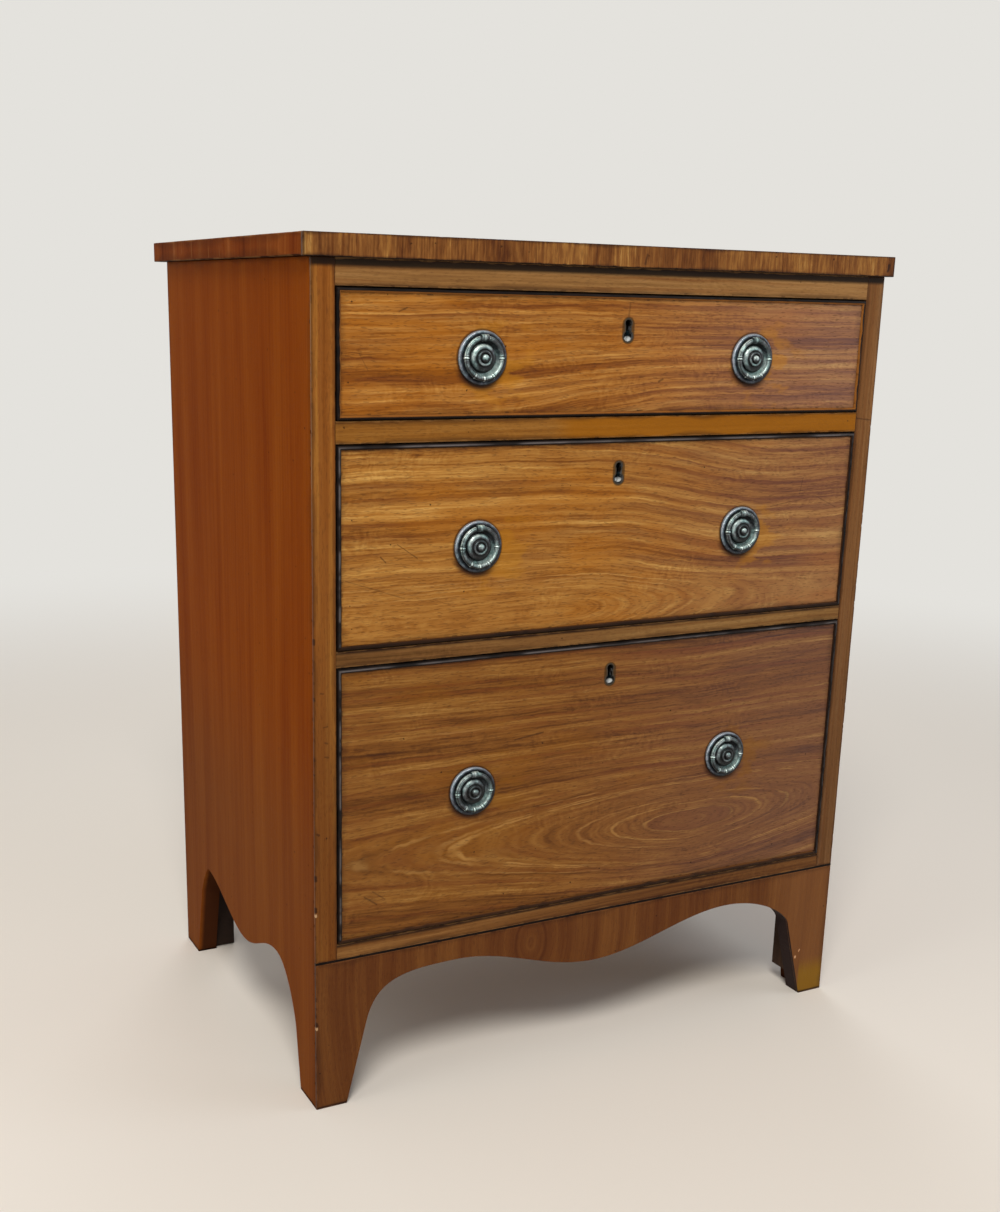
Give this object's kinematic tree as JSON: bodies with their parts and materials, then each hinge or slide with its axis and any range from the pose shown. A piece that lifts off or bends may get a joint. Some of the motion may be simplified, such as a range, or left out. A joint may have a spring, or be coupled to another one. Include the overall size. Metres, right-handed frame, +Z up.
{
  "type": "bachelors chest",
  "caption": "Small mahogany chest of graduated drawers on scrolled bracket feet, with black cockbeads, ring pulls and keyholes; drawers slide, rings lift, lock bolts rise.",
  "frame": {"origin": "on the floor, under the middle of the whole chest's box, with its top and pulls", "axes": "+Z up, drawers open towards -Y, +X to the right of someone facing the front"},
  "size_m": [0.616, 0.4472, 0.7845],
  "materials": {
    "mahogany_top": "old polish",
    "mahogany_side": "old polish",
    "crossband": "cross-grained veneer, old polish",
    "stile_veneer": "straight-grained veneer, old polish",
    "rail_veneer": "straight-grained veneer, old polish",
    "drawer_veneer": "ribbon-figured veneer, old polish",
    "ebonised": "black stain under polish",
    "pine": "dry, unfinished, darkened",
    "drawer_lining": "dry, unfinished oak",
    "pull_brass": "dark patina",
    "lock_steel": "dulled, a little rust",
    "liner_steel": "worn bright",
    "iron": "dark"
  },
  "bodies": {
    "carcass": {"top_board": "mahogany_top", "top_edge_band": "crossband", "top_screws": "iron", "left_side": "mahogany_side", "right_side": "mahogany_side", "left_stile": "stile_veneer", "right_stile": "stile_veneer", "top_rail": "rail_veneer", "upper_divider": "rail_veneer", "lower_divider": "rail_veneer", "bottom_rail": "rail_veneer", "bottom_board": "pine", "back_rail": "pine", "back_boards": "pine", "string_inlay": "ebonised", "apron_facing": "crossband", "apron_board": "pine", "drawer_runners": "pine", "top_kickers": "pine", "drawer_stops": "pine", "glue_blocks": "pine"},
    "upper_drawer": {"upper_drawer_front": "drawer_veneer", "upper_drawer_left_side": "drawer_lining", "upper_drawer_right_side": "drawer_lining", "upper_drawer_back": "drawer_lining", "upper_drawer_floor": "drawer_lining", "upper_drawer_cockbead": "ebonised", "upper_drawer_lock_case": "lock_steel", "upper_drawer_keyhole_liner": "liner_steel", "upper_drawer_pull_plates": "pull_brass", "upper_drawer_pull_posts": "pull_brass"},
    "upper_lock_bolt": {"upper_drawer_lock_bolt": "lock_steel"},
    "upper_left_ring": {"upper_drawer_ring_left": "pull_brass"},
    "upper_right_ring": {"upper_drawer_ring_right": "pull_brass"},
    "middle_drawer": {"middle_drawer_front": "drawer_veneer", "middle_drawer_left_side": "drawer_lining", "middle_drawer_right_side": "drawer_lining", "middle_drawer_back": "drawer_lining", "middle_drawer_floor": "drawer_lining", "middle_drawer_cockbead": "ebonised", "middle_drawer_lock_case": "lock_steel", "middle_drawer_keyhole_liner": "liner_steel", "middle_drawer_pull_plates": "pull_brass", "middle_drawer_pull_posts": "pull_brass"},
    "middle_lock_bolt": {"middle_drawer_lock_bolt": "lock_steel"},
    "middle_left_ring": {"middle_drawer_ring_left": "pull_brass"},
    "middle_right_ring": {"middle_drawer_ring_right": "pull_brass"},
    "lower_drawer": {"lower_drawer_front": "drawer_veneer", "lower_drawer_left_side": "drawer_lining", "lower_drawer_right_side": "drawer_lining", "lower_drawer_back": "drawer_lining", "lower_drawer_floor": "drawer_lining", "lower_drawer_cockbead": "ebonised", "lower_drawer_lock_case": "lock_steel", "lower_drawer_keyhole_liner": "liner_steel", "lower_drawer_pull_plates": "pull_brass", "lower_drawer_pull_posts": "pull_brass"},
    "lower_lock_bolt": {"lower_drawer_lock_bolt": "lock_steel"},
    "lower_left_ring": {"lower_drawer_ring_left": "pull_brass"},
    "lower_right_ring": {"lower_drawer_ring_right": "pull_brass"}
  },
  "joints": [
    {"name": "upper_drawer_slide", "type": "slide", "parent": "carcass", "child": "upper_drawer", "axis": [0, -1, 0], "range_m": [0, 0.3]},
    {"name": "upper_lock_bolt_slide", "type": "slide", "parent": "upper_drawer", "child": "upper_lock_bolt", "axis": [0, 0, 1], "range_m": [0, 0.007]},
    {"name": "upper_left_ring_hinge", "type": "hinge", "parent": "upper_drawer", "child": "upper_left_ring", "pos_m": [-0.144, -0.2192, 0.7037], "axis": [-1, 0, 0], "range_deg": [0, 165]},
    {"name": "upper_right_ring_hinge", "type": "hinge", "parent": "upper_drawer", "child": "upper_right_ring", "pos_m": [0.144, -0.2192, 0.7037], "axis": [-1, 0, 0], "range_deg": [0, 165]},
    {"name": "middle_drawer_slide", "type": "slide", "parent": "carcass", "child": "middle_drawer", "axis": [0, -1, 0], "range_m": [0, 0.3]},
    {"name": "middle_lock_bolt_slide", "type": "slide", "parent": "middle_drawer", "child": "middle_lock_bolt", "axis": [0, 0, 1], "range_m": [0, 0.007]},
    {"name": "middle_left_ring_hinge", "type": "hinge", "parent": "middle_drawer", "child": "middle_left_ring", "pos_m": [-0.144, -0.2192, 0.5402], "axis": [-1, 0, 0], "range_deg": [0, 165]},
    {"name": "middle_right_ring_hinge", "type": "hinge", "parent": "middle_drawer", "child": "middle_right_ring", "pos_m": [0.144, -0.2192, 0.5402], "axis": [-1, 0, 0], "range_deg": [0, 165]},
    {"name": "lower_drawer_slide", "type": "slide", "parent": "carcass", "child": "lower_drawer", "axis": [0, -1, 0], "range_m": [0, 0.3]},
    {"name": "lower_lock_bolt_slide", "type": "slide", "parent": "lower_drawer", "child": "lower_lock_bolt", "axis": [0, 0, 1], "range_m": [0, 0.007]},
    {"name": "lower_left_ring_hinge", "type": "hinge", "parent": "lower_drawer", "child": "lower_left_ring", "pos_m": [-0.144, -0.2192, 0.3112], "axis": [-1, 0, 0], "range_deg": [0, 165]},
    {"name": "lower_right_ring_hinge", "type": "hinge", "parent": "lower_drawer", "child": "lower_right_ring", "pos_m": [0.144, -0.2192, 0.3112], "axis": [-1, 0, 0], "range_deg": [0, 165]}
  ]
}
